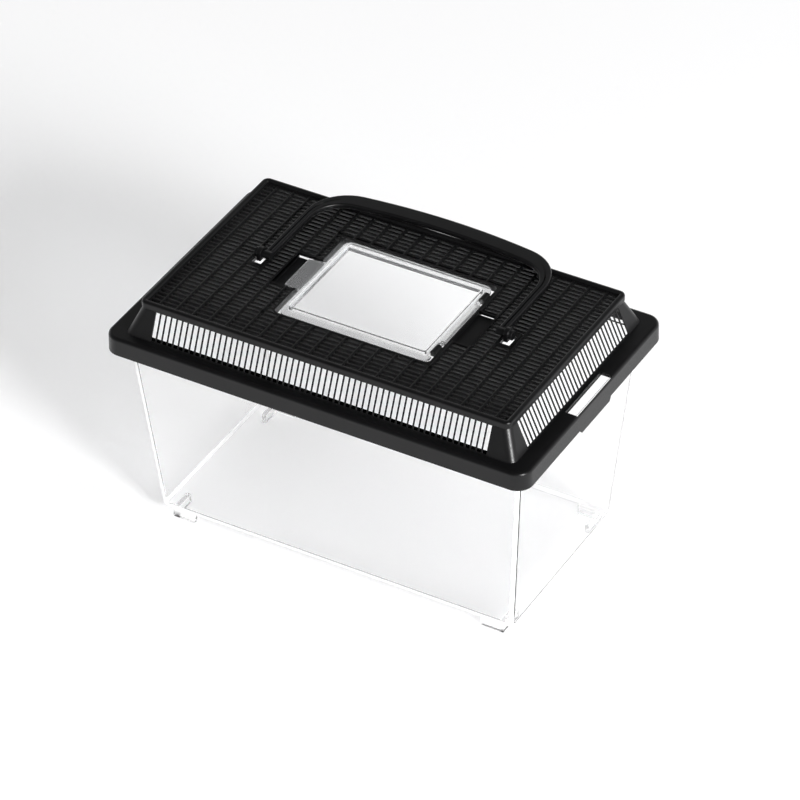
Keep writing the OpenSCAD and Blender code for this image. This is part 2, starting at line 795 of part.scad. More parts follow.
module hinge_barrel() {
    translate([hinge_x, 0, hinge_z]) rotate([90, 0, 0]) {
        cylinder(barrel_len, barrel_r, barrel_r, center = true);
        cylinder(2 * (lug_in + pin_seat), hinge_pin_r, hinge_pin_r, center = true);
    }
}

// The clear hatch, with its finger tab and hinge barrel
module hatch() {
    color([0.9, 0.92, 0.93, 0.5]) {
        translate([hatch_off, 0, 0]) {
            hatch_panel();
            hatch_flange();
        }
        finger_tab();
        hinge_barrel();
    }
}

// Points along one edge of the handle, from the right pivot round the bend to
// the middle of the grip
function bail_edge(side, bx, by, r, angle, centre_y) = concat(
    [[side, 0], [side, groove_start], [side, groove_start + groove_run]],
    [for (i = [0 : bend_steps - 1])
        let (a = (90 - angle) * i / bend_steps) [bx + r * cos(a), by + r * sin(a)]],
    [for (i = [0 : bow_steps])
        let (a = 90 - angle + angle * i / bow_steps) [bow_r * cos(a), centre_y + bow_r * sin(a)]]
);

// The share of the groove's depth at each of those points: it fades in the bend
groove_shares = concat(
    [0, 0, 1],
    [for (i = [0 : bend_steps - 1]) max(0, 1 - i / (bend_steps * groove_fade_share))],
    [for (i = [0 : bow_steps]) 0]
);

// The list carried on over the middle to the other side
function both_halves(half) = concat(half,
    [for (i = [len(half) - 2 : -1 : 0]) is_num(half[i]) ? half[i] : [-half[i][0], half[i][1]]]);

// The handle's section: round edges, and a groove along the top
function bail_section(w, depth) =
    let (x = w / 2 - handle_edge_r, z = handle_t / 2 - handle_edge_r, r = handle_edge_r,
        g = groove_w / 2)
    concat(
        arc(x, -z, r, -90, 0), arc(x, z, r, 0, 90),
        [[g, handle_t / 2], [g / 2, handle_t / 2 - depth],
         [-g / 2, handle_t / 2 - depth], [-g, handle_t / 2]],
        arc(-x, z, r, 90, 180), arc(-x, -z, r, 180, 270)
    );

// The bail as one loft of that section between its outer and inner edges
module bail() {
    outer = both_halves(bail_edge(leg_out, bend_x, bend_y, bend_r, bend_angle, bow_y));
    inner = both_halves(bail_edge(leg_in, inner_bend_x, inner_bend_y, inner_bend_r,
        inner_bend_angle, inner_bow_y));
    share = both_halves(groove_shares);
    rings = [for (i = [0 : len(outer) - 1])
        let (across = outer[i] - inner[i], w = norm(across), mid = (outer[i] + inner[i]) / 2)
        [for (p = bail_section(w, groove_depth * share[i]))
            [mid[0] + across[0] / w * p[0], mid[1] + across[1] / w * p[0], p[1]]]];
    n = len(rings[0]);
    last = len(rings) - 1;
    polyhedron(
        points = [for (ring = rings) for (p = ring) p],
        faces = concat(
            [[for (k = [n - 1 : -1 : 0]) k]],
            [for (i = [0 : last - 1], k = [0 : n - 1])
                let (a = i * n + k, b = i * n + (k + 1) % n) [a, b, a + n]],
            [for (i = [0 : last - 1], k = [0 : n - 1])
                let (a = i * n + k, b = i * n + (k + 1) % n) [b, b + n, a + n]],
            [[for (k = [0 : n - 1]) last * n + k]]
        )
    );
}

// The folding handle, lying back in its folded place, with its pivot pins
module handle() {
    color([0.03, 0.03, 0.035])
        translate([0, 0, pivot_z]) {
            bail();
            both_ends() translate([leg_in, 0, 0]) rotate([0, 90, 0]) {
                cylinder(leg_w, leg_end_r, leg_end_r);
                cylinder(pin_end - leg_in, pivot_pin_r, pivot_pin_r);
            }
        }
}

tank_floor();
tank_front();
tank_back();
tank_left();
tank_right();
lid_brim();
vent_front();
vent_back();
vent_left();
vent_right();
top_lip();
grille_front();
grille_back();
grille_left();
grille_right();
grille_front_left();
grille_front_right();
grille_back_left();
grille_back_right();
hatch_frame();
handle_ear_left();
handle_ear_right();
hatch();
handle();
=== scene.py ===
# %% [markdown]
# # A ventilated pet transport box
# This notebook dresses a small pet carrier: a clear tapered tank, a black lid
# with slatted walls and a grille on top, a clear hatch and a folding handle.
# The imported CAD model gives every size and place, in metres, with the feet on
# z = 0. Each cell makes one piece or one finish, and prints what it made.

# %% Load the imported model
from math import cos, pi, radians, sin

import bmesh
import bpy
from mathutils import Matrix, Vector


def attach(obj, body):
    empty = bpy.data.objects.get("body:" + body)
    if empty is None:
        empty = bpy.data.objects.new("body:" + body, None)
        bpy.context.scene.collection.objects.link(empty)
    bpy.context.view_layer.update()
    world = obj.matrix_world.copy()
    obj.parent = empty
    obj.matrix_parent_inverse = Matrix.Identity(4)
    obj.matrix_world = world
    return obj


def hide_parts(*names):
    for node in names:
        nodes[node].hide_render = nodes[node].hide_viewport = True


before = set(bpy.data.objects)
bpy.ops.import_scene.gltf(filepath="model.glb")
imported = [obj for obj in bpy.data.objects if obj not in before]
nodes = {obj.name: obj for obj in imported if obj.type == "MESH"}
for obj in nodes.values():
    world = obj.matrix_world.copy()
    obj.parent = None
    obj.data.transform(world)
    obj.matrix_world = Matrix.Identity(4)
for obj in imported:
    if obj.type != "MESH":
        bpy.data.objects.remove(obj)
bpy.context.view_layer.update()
MM = 0.001


# %% [markdown]
# ## The camera
# The photograph was taken with a long lens from the front right, a little
# above the box. A camera fitted to the box's edges gave an azimuth of 30
# degrees, an elevation of 37.5 degrees and a slight roll. The lens follows
# from the frame's width of 800 pixels and Blender's sensor of 36 mm. A small
# shift to the right and up puts the box where the photograph has it.

# %% Camera
AZIMUTH, ELEVATION, ROLL = radians(30.004), radians(37.541), radians(-0.739)
FOCAL_PX, FRAME_PX, SENSOR = 4917.93, 800, 36
DISTANCE = 2.76768
LOOK_AT = Vector((0, 0, 0.0836))
SHIFT_RIGHT, SHIFT_UP = 0.00851, 0.00075
FAR_CLIP = 50

right = Vector((cos(AZIMUTH), sin(AZIMUTH), 0))
back = Vector((sin(AZIMUTH) * cos(ELEVATION), -cos(AZIMUTH) * cos(ELEVATION), sin(ELEVATION)))
up = back.cross(right)
target = LOOK_AT + right * SHIFT_RIGHT + up * SHIFT_UP
rolled_right = right * cos(ROLL) + up * sin(ROLL)
rolled_up = up * cos(ROLL) - right * sin(ROLL)

lens = bpy.data.cameras.new("camera")
lens.sensor_width = SENSOR
lens.lens = FOCAL_PX / FRAME_PX * SENSOR
lens.clip_end = FAR_CLIP
camera = bpy.data.objects.new("camera", lens)
camera.matrix_world = Matrix.Translation(target + back * DISTANCE) @ Matrix(
    (rolled_right, rolled_up, back)
).transposed().to_4x4()
bpy.context.scene.collection.objects.link(camera)
bpy.context.scene.camera = camera
print("camera at", [round(v, 3) for v in camera.location], "lens", round(lens.lens, 1))


# %% [markdown]
# ## The studio
# A white sweep, soft light from all round, and one large lamp that stands low
# at the front right. Its low angle throws the long soft shadow to the back
# left. The world lights the box evenly. What mirrors in the plastic is another
# matter: white walls at the back, a dark ceiling, and the dim side of the room
# that the photographer stands in, so the mirrored world fades by height and
# from the back to the front. Light that bends through the clear walls finds
# the room white all round, so that their edges shine as they do on white paper.

# %% World and lamps
scene = bpy.context.scene
scene.view_settings.view_transform = "Standard"


def add(tree, kind, inputs=None, **settings):
    """Adds a node, sets it up, and links or fills its inputs."""
    node = tree.nodes.new(kind)
    for key, value in settings.items():
        setattr(node, key, value)
    for key, value in (inputs or {}).items():
        if isinstance(value, bpy.types.NodeSocket):
            tree.links.new(value, node.inputs[key])
        else:
            node.inputs[key].default_value = value
    return node


def compute(tree, operation, *values):
    """One step of arithmetic on sockets or numbers."""
    return add(tree, "ShaderNodeMath", dict(enumerate(values)), operation=operation).outputs[0]


def mixed(tree, share, first, second):
    """Mixes two shaders, with the share that the second one gets."""
    return add(tree, "ShaderNodeMixShader", {"Fac": share, 1: first, 2: second}).outputs[0]


WHITE = (1, 1, 1, 1)
WORLD_LIGHT = 0.6
CEILING, HORIZON, FRONT_SHARE = 0.1, 1.0, 0.35
FADE_UP, FADE_BACK = (0.15, 0.55), (-0.5, 0.1)
world = bpy.data.worlds.new("studio")
scene.world = world
world.use_nodes = True
sky = world.node_tree
sky.nodes.clear()
direction = add(sky, "ShaderNodeTexCoord").outputs["Generated"]
way = add(sky, "ShaderNodeSeparateXYZ", {0: direction}).outputs


def fade_along(axis, limits, first, last):
    """A level that fades from one value to another along a direction."""
    return add(sky, "ShaderNodeMapRange", {
        "Value": way[axis], "From Min": limits[0], "From Max": limits[1],
        "To Min": first, "To Max": last,
    }).outputs["Result"]


by_height = fade_along("Z", FADE_UP, HORIZON, CEILING)
by_side = fade_along("Y", FADE_BACK, FRONT_SHARE, 1.0)
path = add(sky, "ShaderNodeLightPath").outputs
bent = path["Is Transmission Ray"]
mirrored = compute(sky, "MULTIPLY", by_height, by_side)
strength = compute(sky, "MAXIMUM", mirrored, bent)
seen = add(sky, "ShaderNodeBackground", {"Color": WHITE, "Strength": strength}).outputs[0]
lit = add(sky, "ShaderNodeBackground", {"Color": WHITE, "Strength": WORLD_LIGHT}).outputs[0]
on_plastic = compute(sky, "MAXIMUM", path["Is Glossy Ray"], bent)
direct = compute(sky, "MAXIMUM", path["Is Camera Ray"], on_plastic)
add(sky, "ShaderNodeOutputWorld", {"Surface": mixed(sky, direct, lit, seen)})

AIM_HEIGHT = 0.08


def lamp(name, azimuth, elevation, distance, size, power):
    """A square soft box that faces the box from a direction in degrees."""
    light = bpy.data.lights.new(name, "AREA")
    light.size = size
    light.energy = power
    box = bpy.data.objects.new(name, light)
    aim = Vector((0, 0, AIM_HEIGHT))
    az, el = radians(azimuth), radians(elevation)
    way = Vector((cos(az) * cos(el), sin(az) * cos(el), sin(el)))
    box.matrix_world = (
        Matrix.Translation(aim + way * distance) @ way.to_track_quat("Z", "Y").to_matrix().to_4x4()
    )
    scene.collection.objects.link(box)


lamp("key_softbox", azimuth=-25.5, elevation=24.6, distance=4.0, size=0.98, power=172)

# %% Floor
FLOOR_HALF, FLOOR_DROP = 6.0, 0.0002
FLOOR_GLOW, GLOW_THROUGH_WALLS = 0.1, 0.11
FLOOR_WHITE, FLOOR_ROUGH = (0.92, 0.92, 0.925, 1), 0.9
CORNERS = ((-1, -1), (1, -1), (1, 1), (-1, 1))
floor_mesh = bpy.data.meshes.new("floor")
floor_mesh.from_pydata(
    [(x * FLOOR_HALF, y * FLOOR_HALF, -FLOOR_DROP) for x, y in CORNERS], [], [(0, 1, 2, 3)],
)
floor = bpy.data.objects.new("floor", floor_mesh)
scene.collection.objects.link(floor)
floor_look = bpy.data.materials.new("white_sweep")
floor_look.use_nodes = True
tree = floor_look.node_tree
paint = tree.nodes["Principled BSDF"]
paint.inputs["Base Color"].default_value = FLOOR_WHITE
paint.inputs["Roughness"].default_value = FLOOR_ROUGH
paint.inputs["Specular IOR Level"].default_value = 0.0
path = add(tree, "ShaderNodeLightPath").outputs
direct = compute(tree, "MAXIMUM", path["Is Camera Ray"], path["Is Glossy Ray"])
plain = compute(tree, "MULTIPLY", direct, FLOOR_GLOW)
bent = path["Is Transmission Ray"]
whiten = compute(tree, "MULTIPLY_ADD", bent, GLOW_THROUGH_WALLS, plain)
glow = add(tree, "ShaderNodeEmission", {"Strength": whiten})
both = add(tree, "ShaderNodeAddShader", {0: paint.outputs[0], 1: glow.outputs[0]})
tree.links.new(both.outputs[0], tree.nodes["Material Output"].inputs["Surface"])
floor_mesh.materials.append(floor_look)
print("floor", floor.name)


# %% [markdown]
# ## The black plastic
# The lid and the handle are one black plastic with a soft shine. A very fine
# noise in the roughness and a faint bump stand for the moulded skin, and a
# slow drift in the colour keeps large faces from looking painted. The noise
# reads Object coordinates, so it stays on each piece as it moves.

# %% Black plastic
def new_material(name):
    """An empty node material, with its tree and its Principled node."""
    material = bpy.data.materials.new(name)
    material.use_nodes = True
    return material, material.node_tree, material.node_tree.nodes["Principled BSDF"]


NOISE_RANGE, NOISE_ROUGHNESS = (0.3, 0.7), 0.5


def noise(tree, scale, detail=2.0):
    """A noise texture in the object's own metres."""
    place = add(tree, "ShaderNodeTexCoord").outputs["Object"]
    return add(tree, "ShaderNodeTexNoise", {
        "Vector": place, "Scale": scale, "Detail": detail, "Roughness": NOISE_ROUGHNESS,
    }).outputs["Fac"]


def spread(tree, value, low, high):
    """Maps a noise onto the range from low to high."""
    return add(tree, "ShaderNodeMapRange", {
        "Value": value, "From Min": NOISE_RANGE[0], "From Max": NOISE_RANGE[1],
        "To Min": low, "To Max": high,
    }).outputs["Result"]


def two_tone(tree, value, dark, light):
    """A colour that drifts between two tones with a noise."""
    ramp = add(tree, "ShaderNodeValToRGB", {"Fac": value})
    for stop, place, tone in zip(ramp.color_ramp.elements, NOISE_RANGE, (dark, light)):
        stop.position = place
        stop.color = (*tone, 1)
    return ramp.outputs["Color"]


def skin_bump(tree, value, depth, strength):
    """A faint bump from a noise, as a height in metres."""
    return add(tree, "ShaderNodeBump", {
        "Height": value, "Distance": depth, "Strength": strength,
    }).outputs["Normal"]


BLACK_TONES = (0.0034, 0.0034, 0.0037), (0.0052, 0.0052, 0.0056)
BLACK_ROUGHNESS, BLACK_SPECULAR = (0.28, 0.38), 0.33
DRIFT_SCALE, SHINE_SCALE, SKIN_SCALE, SKIN_DETAIL = 60, 900, 2600, 3
SKIN_DEPTH, SKIN_STRENGTH = 0.02 * MM, 0.35


def black_plastic():
    """The lid's and the handle's plastic."""
    material, tree, skin = new_material("black_plastic")
    tone = two_tone(tree, noise(tree, DRIFT_SCALE), *BLACK_TONES)
    shine = spread(tree, noise(tree, SHINE_SCALE), *BLACK_ROUGHNESS)
    relief = skin_bump(tree, noise(tree, SKIN_SCALE, SKIN_DETAIL), SKIN_DEPTH, SKIN_STRENGTH)
    tree.links.new(tone, skin.inputs["Base Color"])
    tree.links.new(shine, skin.inputs["Roughness"])
    tree.links.new(relief, skin.inputs["Normal"])
    skin.inputs["Specular IOR Level"].default_value = BLACK_SPECULAR
    return material


BLACK = black_plastic()
print("made", BLACK.name)


# %% [markdown]
# ## The clear plastic
# The tank and the hatch are clear moulded plastic. Light bends in their edges
# and corners, which draws the fine white and dark lines round the box, so the
# material is glass. It bends light less than the real plastic, because the
# walls would else show more of the dark lid than the photograph does. Lamps
# pass through it as through a pale pane, by a Transparent shader for shadow
# rays, so that the inside stays bright and the walls still throw a soft
# shadow. The tank's edges gather light and shine white, which a path tracer
# loses in their many reflections, so the mesh marks them with an attribute
# and the material paints a plain matt white highlight there.

# %% Clear plastic
PANE_SCALE = 120


def clear_plastic(name, tint, pane, rough, bend):
    """Clear plastic that bends light and lets lamps through as a pale pane."""
    material, tree, glass = new_material(name)
    glass.inputs["Base Color"].default_value = (*tint, 1)
    glass.inputs["Transmission Weight"].default_value = 1.0
    glass.inputs["IOR"].default_value = bend
    tree.links.new(spread(tree, noise(tree, PANE_SCALE), *rough), glass.inputs["Roughness"])
    shadow = add(tree, "ShaderNodeLightPath").outputs["Is Shadow Ray"]
    pale = add(tree, "ShaderNodeBsdfTransparent", {"Color": (*pane, 1)}).outputs[0]
    surface = mixed(tree, shadow, glass.outputs[0], pale)
    tree.links.new(surface, tree.nodes["Material Output"].inputs["Surface"])
    return material


def add_milk_and_painted_highlight(material, share, tone):
    """Mixes a matt tone into a clear plastic, before the lamps' own path. It makes
    the hatch's milky surround, and paints the white highlight on the tank's edges.
    """
    tree = material.node_tree
    milk_and_highlight = add(tree, "ShaderNodeBsdfDiffuse", {"Color": tone}).outputs[0]
    lamp_mix = tree.nodes["Material Output"].inputs["Surface"].links[0].from_node
    glass = lamp_mix.inputs[1].links[0].from_socket
    tree.links.new(mixed(tree, share, glass, milk_and_highlight), lamp_mix.inputs[1])


EDGE = "painted_edge_highlight"
CLEAR = clear_plastic(
    "clear_tank", tint=(0.985, 0.985, 0.985), pane=(0.6, 0.6, 0.605), rough=(0.0, 0.02), bend=1.22,
)
# Painted highlight: where the attribute marks the tank's edges, the glass is plain matt white.
edge_highlight_share = add(CLEAR.node_tree, "ShaderNodeAttribute", attribute_name=EDGE).outputs["Fac"]
add_milk_and_painted_highlight(CLEAR, edge_highlight_share, WHITE)
print("made", CLEAR.name)


# %% [markdown]
# ## The hatch's plastic
# The hatch is clear in its raised panel. The flange, the finger tab and the
# strip at the hinge were left matt in the mould, and look milky. One material
# does both: it measures how far a point lies outside the panel, on Object
# coordinates, and there mixes a rough pane with a little white.

# %% Hatch plastic
PANEL_CENTRE_X, PANEL_HALF = 1.75 * MM, (43.65 * MM, 33.3 * MM)
MILK_SHARE, MILK_TONE, MATT_ROUGHNESS = 0.24, (0.27, 0.272, 0.275, 1), 0.16


def hatch_plastic():
    """Clear plastic with a milky surround."""
    material = clear_plastic(
        "clear_hatch", tint=(0.94, 0.943, 0.946), pane=(0.8, 0.81, 0.82), rough=(0.02, 0.05), bend=1.4,
    )
    tree = material.node_tree
    roughness = tree.nodes["Principled BSDF"].inputs["Roughness"]
    place = add(tree, "ShaderNodeTexCoord").outputs["Object"]
    along = add(tree, "ShaderNodeSeparateXYZ", {0: place}).outputs

    def outside(axis, centre, half):
        """How far a point lies outside the panel along one axis."""
        offset = compute(tree, "SUBTRACT", along[axis], centre)
        return compute(tree, "SUBTRACT", compute(tree, "ABSOLUTE", offset), half)

    past_x = outside("X", PANEL_CENTRE_X, PANEL_HALF[0])
    past_y = outside("Y", 0.0, PANEL_HALF[1])
    milky = compute(tree, "GREATER_THAN", compute(tree, "MAXIMUM", past_x, past_y), 0.0)
    matt = compute(tree, "MULTIPLY", milky, MATT_ROUGHNESS)
    fine = roughness.links[0].from_socket
    tree.links.new(compute(tree, "ADD", fine, matt), roughness)
    add_milk_and_painted_highlight(material, compute(tree, "MULTIPLY", milky, MILK_SHARE), MILK_TONE)
    return material


CLEAR_HATCH = hatch_plastic()
print("made", CLEAR_HATCH.name)


# %% [markdown]
# ## Mesh helpers
# Every moulded edge has a small radius that catches the light. Helpers turn
# loops of points into skins, merge a CAD node's loose triangles back into flat
# faces, and finish a mesh into a piece that rides on a body. The sizes in the
# cells below are in mm, and MM turns them into Blender's metres.

# %% Mesh helpers
SMOOTH_BELOW, SHARP_ABOVE = radians(35), radians(30)
WELD, FLAT_ANGLE = 0.004 * MM, radians(0.6)


def finish_piece(name, mesh, material, body, slot, *replaced):
    """Turns a bmesh in metres into a finished piece that rides on a body."""
    data = bpy.data.meshes.new(name)
    mesh.to_mesh(data)
    mesh.free()
    return finish_data(name, data, material, body, slot, *replaced)


def finish_data(name, data, material, body, slot, *replaced, smooth=SMOOTH_BELOW):
    """Gives mesh data its material and shading, and seats it on its body."""
    data.materials.clear()
    data.materials.append(material)
    data.shade_smooth()
    data.set_sharp_from_angle(angle=smooth)
    piece = bpy.data.objects.new(name, data)
    scene.collection.objects.link(piece)
    even = piece.modifiers.new("even_shading", "WEIGHTED_NORMAL")
    even.keep_sharp = True
    piece.data = plain_mesh(piece)
    piece.modifiers.clear()
    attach(piece, body)
    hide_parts(*replaced)
    print(name, len(piece.data.polygons), "faces")
    return piece


def plain_mesh(piece):
    """The result of a piece's modifiers as a plain mesh."""
    graph = bpy.context.evaluated_depsgraph_get()
    return bpy.data.meshes.new_from_object(piece.evaluated_get(graph), depsgraph=graph)


def merged_copy(node):
    """The node's triangles joined into a clean mesh of flat faces."""
    mesh = bmesh.new()
    mesh.from_mesh(nodes[node].data)
    bmesh.ops.remove_doubles(mesh, verts=mesh.verts, dist=WELD)
    bmesh.ops.dissolve_limit(mesh, angle_limit=FLAT_ANGLE, verts=mesh.verts, edges=mesh.edges)
    return mesh


def round_edges(mesh, radius):
    """Bevels every sharp edge, by a radius in mm."""
    sharp = [e for e in mesh.edges if len(e.link_faces) == 2 and e.calc_face_angle(0) > SHARP_ABOVE]
    bmesh.ops.bevel(
        mesh, geom=sharp, offset=radius * MM, segments=2, profile=0.5, affect="EDGES",
        clamp_overlap=True,
    )


def soften(name, node, radius, material, body, slot):
    """A CAD node with its sharp edges rounded, by a radius in mm."""
    mesh = merged_copy(node)
    round_edges(mesh, radius)
    return finish_piece(name, mesh, material, body, slot, node)


QUARTERS = ((1, 1), (-1, 1), (-1, -1), (1, -1))


def rounded_loop(length, width, radius, z, leads, steps=8):
    """A rounded rectangle in mm, counterclockwise from above, with points just
    outside each end of every corner so that the straight faces shade flat."""
    points = []
    for quarter, (sx, sy) in enumerate(QUARTERS):
        centre = Vector((sx * (length / 2 - radius), sy * (width / 2 - radius), z))
        angles = [quarter * pi / 2 + pi / 2 * i / steps for i in range(steps + 1)]
        rim = [Vector((cos(a), sin(a), 0)) for a in angles]
        points += [centre + rim[0] * radius - rim[-1] * lead for lead in leads[::-1]]
        points += [centre + way * radius for way in rim]
        points += [centre + rim[-1] * radius - rim[0] * lead for lead in leads]
    return points


def skin_loops(mesh, loops):
    """Joins each closed loop of points, in mm, to the next by quads."""
    rings = [[mesh.verts.new(p * MM) for p in loop] for loop in loops]
    for low, high in zip(rings, rings[1:]):
        for i in range(len(low)):
            j = (i + 1) % len(low)
            mesh.faces.new((low[i], low[j], high[j], high[i]))
    return rings


# %% [markdown]
# ## The tank
# The tank is one tapered moulding: it leans out from a rounded floor up to a
# flange that the lid rests on, and stands on four L-shaped feet. Its section
# follows a rule, so one list of outlines runs from the outside of the floor up
# the wall, round the flange and down the inside. Each outline is a rounded
# rectangle, and quads join it to the next. The feet are then fused on.

# %% Tank
FLOOR_Z, WALL, RIM_LOW, RIM_TOP = 5.8, 2.0, 132.56, 134.56
BASE_SIZE, TOP_SIZE, RIM_SIZE = (228.4, 116.8), (249.8, 140.2), (261.6, 159.0)
CORNER_R, INNER_R, FLOOR_R, RIM_R, RIM_EDGE = 1.5, 0.8, 1.8, 6.7, 0.4
RIM_CUT, STRIP, MOUTH_STRIP, MOUTH_DEPTH = 0.3 * RIM_EDGE, 1.0, 0.9, 1.5
TURN_STEPS, TANK_SMOOTH = 6, radians(32)
EDGE_BAND, EDGE_FADE = 1.2, 0.6
EDGE_LEADS = (EDGE_BAND / 2, EDGE_BAND, EDGE_BAND + EDGE_FADE)


def tank_loop(z, inset, radius):
    """The tank's outline at a height, drawn in by some distance."""
    share = (z - FLOOR_Z) / (RIM_LOW - FLOOR_Z)
    length, width = (b + (t - b) * share - 2 * inset for b, t in zip(BASE_SIZE, TOP_SIZE))
    return rounded_loop(length, width, radius, z, EDGE_LEADS)


def floor_turn(low, radius, inset, corner):
    """Outlines of the quarter round between the floor and the wall."""
    turns = [pi / 2 * i / TURN_STEPS for i in range(TURN_STEPS + 1)]
    levels = [(low + radius * (1 - cos(a)), inset + radius * (1 - sin(a))) for a in turns]
    return [tank_loop(z, away, corner) for z, away in levels]


def rim_loop(z, inset):
    """The flange's outline at a height, drawn in by some distance."""
    length, width = (size - 2 * inset for size in RIM_SIZE)
    return rounded_loop(length, width, RIM_R - inset, z, EDGE_LEADS)


outside = floor_turn(FLOOR_Z, FLOOR_R, 0, CORNER_R)
inside = floor_turn(FLOOR_Z + WALL, INNER_R, WALL, INNER_R)
tank_loops = outside + [
    tank_loop(FLOOR_Z + FLOOR_R + EDGE_BAND, 0, CORNER_R),
    tank_loop(FLOOR_Z + FLOOR_R + EDGE_BAND + EDGE_FADE, 0, CORNER_R),
    tank_loop(RIM_LOW - STRIP, 0, CORNER_R),
    tank_loop(RIM_LOW, 0, CORNER_R),
    tank_loop(RIM_LOW, -STRIP, CORNER_R + STRIP),
    rim_loop(RIM_LOW, STRIP),
    rim_loop(RIM_LOW, RIM_EDGE),
    rim_loop(RIM_LOW + RIM_CUT, RIM_CUT),
    rim_loop(RIM_LOW + RIM_EDGE, 0),
    rim_loop(RIM_TOP - RIM_EDGE, 0),
    rim_loop(RIM_TOP - RIM_CUT, RIM_CUT),
    rim_loop(RIM_TOP, RIM_EDGE),
    rim_loop(RIM_TOP, STRIP),
    tank_loop(RIM_TOP, WALL - MOUTH_STRIP, INNER_R + MOUTH_STRIP),
    tank_loop(RIM_TOP, WALL - RIM_EDGE, INNER_R + RIM_EDGE),
    tank_loop(RIM_TOP - RIM_CUT, WALL - RIM_CUT, INNER_R + RIM_CUT),
    tank_loop(RIM_TOP - RIM_EDGE, WALL, INNER_R),
    tank_loop(RIM_TOP - MOUTH_DEPTH, WALL, INNER_R),
    tank_loop(FLOOR_Z + WALL + INNER_R + STRIP, WALL, INNER_R),
] + inside[::-1]
shell = bmesh.new()
rings = skin_loops(shell, tank_loops)
shell.faces.new(rings[0][::-1])
shell.faces.new(rings[-1])
print("tank outlines:", len(tank_loops))

# %% Feet
FOOT_LEGS, FOOT_WALL, FOOT_INSET, FOOT_EDGE = (14.5, 16.0), 3.0, (6.4, 0.5), 0.4
FOOT_LEVELS = (0, FLOOR_Z + WALL / 2)
far_x, far_y = (size / 2 - inset for size, inset in zip(BASE_SIZE, FOOT_INSET))
plan = [
    (far_x, far_y), (far_x - FOOT_LEGS[0], far_y), (far_x - FOOT_LEGS[0], far_y - FOOT_WALL),
    (far_x - FOOT_WALL, far_y - FOOT_WALL), (far_x - FOOT_WALL, far_y - FOOT_LEGS[1]),
    (far_x, far_y - FOOT_LEGS[1]),
]
feet = bmesh.new()
for sx, sy in QUARTERS:
    rings = skin_loops(feet, [[Vector((sx * x, sy * y, z)) for x, y in plan] for z in FOOT_LEVELS])
    feet.faces.new(rings[0][::-1])
    feet.faces.new(rings[1])
bmesh.ops.recalc_face_normals(feet, faces=feet.faces)
round_edges(feet, FOOT_EDGE)
tool = bpy.data.objects.new("feet", bpy.data.meshes.new("feet"))
feet.to_mesh(tool.data)
feet.free()
blank = bpy.data.objects.new("blank", bpy.data.meshes.new("blank"))
shell.to_mesh(blank.data)
shell.free()
for part in (tool, blank):
    scene.collection.objects.link(part)
join = blank.modifiers.new("feet", "BOOLEAN")
join.operation = "UNION"
join.solver = "EXACT"
join.object = tool
tank_data = plain_mesh(blank)
for part in (tool, blank):
    bpy.data.objects.remove(part)
TANK_NODES = ("tank_floor", "tank_front", "tank_back", "tank_left", "tank_right")
tank = finish_data(
    "tank_shell", tank_data, CLEAR, "tank", "clear_plastic", *TANK_NODES, smooth=TANK_SMOOTH,
)

# %% Edges of the tank, where a white highlight is painted
EDGE_PLAY = 0.05


def in_painted_edge_highlight(spot):
    """1 where the material paints its white highlight: on the tank's outer
    edges and in a band beside them, and 0 on its faces.
    The end side of the front right edge stays clear, which leaves the fine dark
    line that it has."""
    x, y, z = (v / MM for v in spot)
    if not FLOOR_Z + EDGE_PLAY < z < RIM_LOW - EDGE_PLAY:
        return 0.0
    share = (z - FLOOR_Z) / (RIM_LOW - FLOOR_Z)
    deep_x, deep_y = (
        (b + (t - b) * share) / 2 - abs(v) for b, t, v in zip(BASE_SIZE, TOP_SIZE, (x, y))
    )
    near, far = sorted((deep_x, deep_y))
    band = EDGE_BAND + EDGE_PLAY
    low = z < FLOOR_Z + FLOOR_R + band and near < FLOOR_R + EDGE_PLAY
    corner = near < WALL / 2 and far < CORNER_R + band
    front_right = y <= 0 <= x
    return float(low or (corner and (not front_right or deep_y < deep_x + EDGE_PLAY)))


# These marks tell the tank's material where to paint its white highlight.
marks = tank.data.attributes.new(EDGE, "FLOAT", "POINT")
marks.data.foreach_set("value", [in_painted_edge_highlight(v.co) for v in tank.data.vertices])
print("edge points:", sum(1 for mark in marks.data if mark.value > 0))


# %% [markdown]
# ## The brim
# The lid's brim, its skirt, windows and grip tabs come straight from the CAD
# solid. Only its sharp edges need the small radius that a mould leaves, so a
# merged copy with a narrow bevel stands for it.

# %% Brim
soften("lid_brim_shell", "lid_brim", 0.25, BLACK, "lid", "black_plastic")


# %% [markdown]
# ## Rows of bars
# The slatted walls and the grille repeat one shape hundreds of times: a thin
# bar with rounded edges. One geometry tree makes a row of such bars. It sweeps
# a rounded rectangle along a line, leans the bar, copies it along the row, and
# turns and places the row. The walls and the grille then stack this tree with
# other sizes, so that a slot's width or a rib's pitch is one number.

# %% Row of bars
SIZES = ("Pitch", "Width", "Depth", "Length", "Edge", "Lean")


